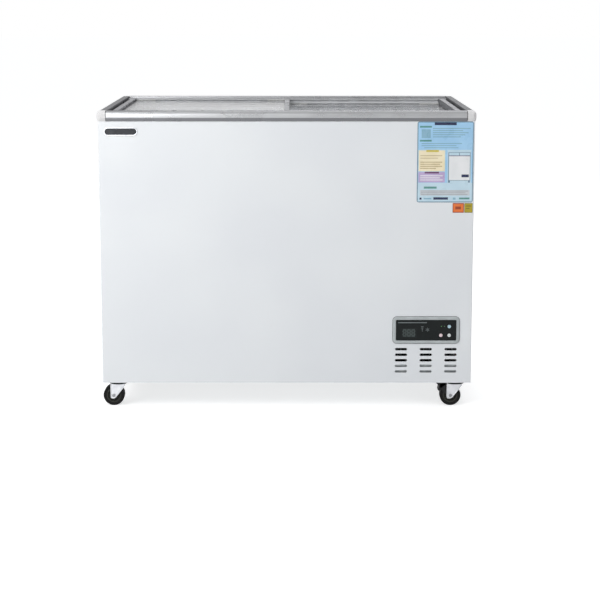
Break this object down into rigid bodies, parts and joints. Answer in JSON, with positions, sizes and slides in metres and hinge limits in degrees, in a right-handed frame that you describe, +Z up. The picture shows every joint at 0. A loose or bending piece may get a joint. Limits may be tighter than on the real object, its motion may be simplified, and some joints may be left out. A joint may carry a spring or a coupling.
{
  "type": "display freezer",
  "caption": "White chest freezer with two sliding glass lids in a silver rim, a control panel and vents low on the front, and swivel casters.",
  "frame": {"origin": "on the floor under the middle of the cabinet", "axes": "+X to the right seen from the front, +Y to the back, +Z up"},
  "size_m": [1.088, 0.678, 0.878],
  "materials": {
    "painted_sheet": "gloss",
    "galvanised": "satin",
    "foam": "matte",
    "liner_sheet": "satin",
    "rim_profile": "satin",
    "cap_plastic": "satin",
    "lid_glass": "gloss",
    "lid_profile": "satin",
    "nylon": "satin",
    "bezel_silver": "satin",
    "black_gloss": "gloss",
    "dark_plastic": "matte",
    "circuit_board": "satin",
    "lamp_green": "gloss",
    "button_blue": "satin",
    "button_white": "satin",
    "button_pink": "satin",
    "badge_metal": "gloss",
    "label_film": "gloss",
    "black_steel": "satin",
    "black_rubber": "matte",
    "copper": "satin",
    "fin_aluminium": "satin",
    "zinc_steel": "satin",
    "grille_steel": "satin",
    "wheel_nylon": "matte",
    "wheel_tread": "matte"
  },
  "bodies": {
    "cabinet": {"front_panel": "painted_sheet", "left_side_panel": "painted_sheet", "right_side_panel": "painted_sheet", "back_panel": "painted_sheet", "base_pan": "galvanised", "base_runners": "black_steel", "insulation": "foam", "inner_liner": "liner_sheet", "bay_divider": "galvanised", "drain_tube": "dark_plastic", "evaporator_coil": "copper", "front_rail": "rim_profile", "back_rail": "rim_profile", "side_rails": "rim_profile", "corner_caps": "cap_plastic", "control_bezel": "bezel_silver", "control_fascia": "black_gloss", "control_box": "dark_plastic", "control_board": "circuit_board", "display_window": "black_gloss", "indicator_lamps": "lamp_green", "badge_plate": "badge_metal", "front_labels": "label_film", "compressor": "black_steel", "compressor_grommets": "black_rubber", "terminal_cover": "dark_plastic", "condenser_fins": "fin_aluminium", "condenser_tube": "copper", "fan_shroud": "dark_plastic", "fan_motor": "dark_plastic", "filter_drier": "copper", "cooling_pipes": "copper", "rear_grille": "grille_steel", "fasteners": "zinc_steel", "cord_gland": "dark_plastic", "caster_plates": "zinc_steel"},
    "left_lid": {"left_lid_glass": "lid_glass", "left_lid_profiles": "lid_profile", "left_lid_glides": "nylon"},
    "right_lid": {"right_lid_glass": "lid_glass", "right_lid_profiles": "lid_profile", "right_lid_glides": "nylon"},
    "drain_plug": {"drain_plug": "dark_plastic"},
    "fan": {"fan_blades": "dark_plastic"},
    "power_button": {"power_button": "button_blue"},
    "up_button": {"up_button": "button_white"},
    "down_button": {"down_button": "button_pink"},
    "brake": {"brake_pedal": "dark_plastic"},
    "front_left_caster": {"front_left_fork": "zinc_steel"},
    "front_left_wheel": {"front_left_core": "wheel_nylon", "front_left_tyre": "wheel_tread"},
    "front_right_caster": {"front_right_fork": "zinc_steel"},
    "front_right_wheel": {"front_right_core": "wheel_nylon", "front_right_tyre": "wheel_tread"},
    "rear_left_caster": {"rear_left_fork": "zinc_steel"},
    "rear_left_wheel": {"rear_left_core": "wheel_nylon", "rear_left_tyre": "wheel_tread"},
    "rear_right_caster": {"rear_right_fork": "zinc_steel"},
    "rear_right_wheel": {"rear_right_core": "wheel_nylon", "rear_right_tyre": "wheel_tread"}
  },
  "joints": [
    {"name": "left_lid_slide", "type": "slide", "parent": "cabinet", "child": "left_lid", "axis": [1, 0, 0], "range_m": [0, 0.4785]},
    {"name": "right_lid_slide", "type": "slide", "parent": "cabinet", "child": "right_lid", "axis": [1, 0, 0], "range_m": [-0.4785, 0]},
    {"name": "drain_plug_pull", "type": "slide", "parent": "cabinet", "child": "drain_plug", "axis": [0, 0, 1], "range_m": [0, 0.04]},
    {"name": "fan_spin", "type": "hinge", "parent": "cabinet", "child": "fan", "pos_m": [0.39, -0.2095, 0.178], "axis": [0, 1, 0], "continuous": true},
    {"name": "power_button_press", "type": "slide", "parent": "cabinet", "child": "power_button", "axis": [0, 1, 0], "range_m": [0, 0.001], "stiffness_N_per_m": 400},
    {"name": "up_button_press", "type": "slide", "parent": "cabinet", "child": "up_button", "axis": [0, 1, 0], "range_m": [0, 0.001], "stiffness_N_per_m": 400},
    {"name": "down_button_press", "type": "slide", "parent": "cabinet", "child": "down_button", "axis": [0, 1, 0], "range_m": [0, 0.001], "stiffness_N_per_m": 400},
    {"name": "front_left_swivel", "type": "hinge", "parent": "cabinet", "child": "front_left_caster", "pos_m": [-0.499, -0.277, 0.07], "axis": [0, 0, 1], "continuous": true},
    {"name": "front_left_roll", "type": "hinge", "parent": "front_left_caster", "child": "front_left_wheel", "pos_m": [-0.513, -0.277, 0.031], "axis": [0, 1, 0], "continuous": true},
    {"name": "front_right_swivel", "type": "hinge", "parent": "cabinet", "child": "front_right_caster", "pos_m": [0.499, -0.277, 0.07], "axis": [0, 0, 1], "continuous": true},
    {"name": "front_right_roll", "type": "hinge", "parent": "front_right_caster", "child": "front_right_wheel", "pos_m": [0.485, -0.277, 0.031], "axis": [0, 1, 0], "continuous": true},
    {"name": "rear_left_swivel", "type": "hinge", "parent": "cabinet", "child": "rear_left_caster", "pos_m": [-0.499, 0.277, 0.07], "axis": [0, 0, 1], "continuous": true},
    {"name": "rear_left_roll", "type": "hinge", "parent": "rear_left_caster", "child": "rear_left_wheel", "pos_m": [-0.513, 0.277, 0.031], "axis": [0, 1, 0], "continuous": true},
    {"name": "rear_right_swivel", "type": "hinge", "parent": "cabinet", "child": "rear_right_caster", "pos_m": [0.499, 0.277, 0.07], "axis": [0, 0, 1], "continuous": true},
    {"name": "rear_right_roll", "type": "hinge", "parent": "rear_right_caster", "child": "rear_right_wheel", "pos_m": [0.485, 0.277, 0.031], "axis": [0, 1, 0], "continuous": true},
    {"name": "brake_press", "type": "hinge", "parent": "front_right_caster", "child": "brake", "pos_m": [0.472, -0.277, 0.064], "axis": [0, -1, 0], "range_deg": [0, 6]}
  ]
}
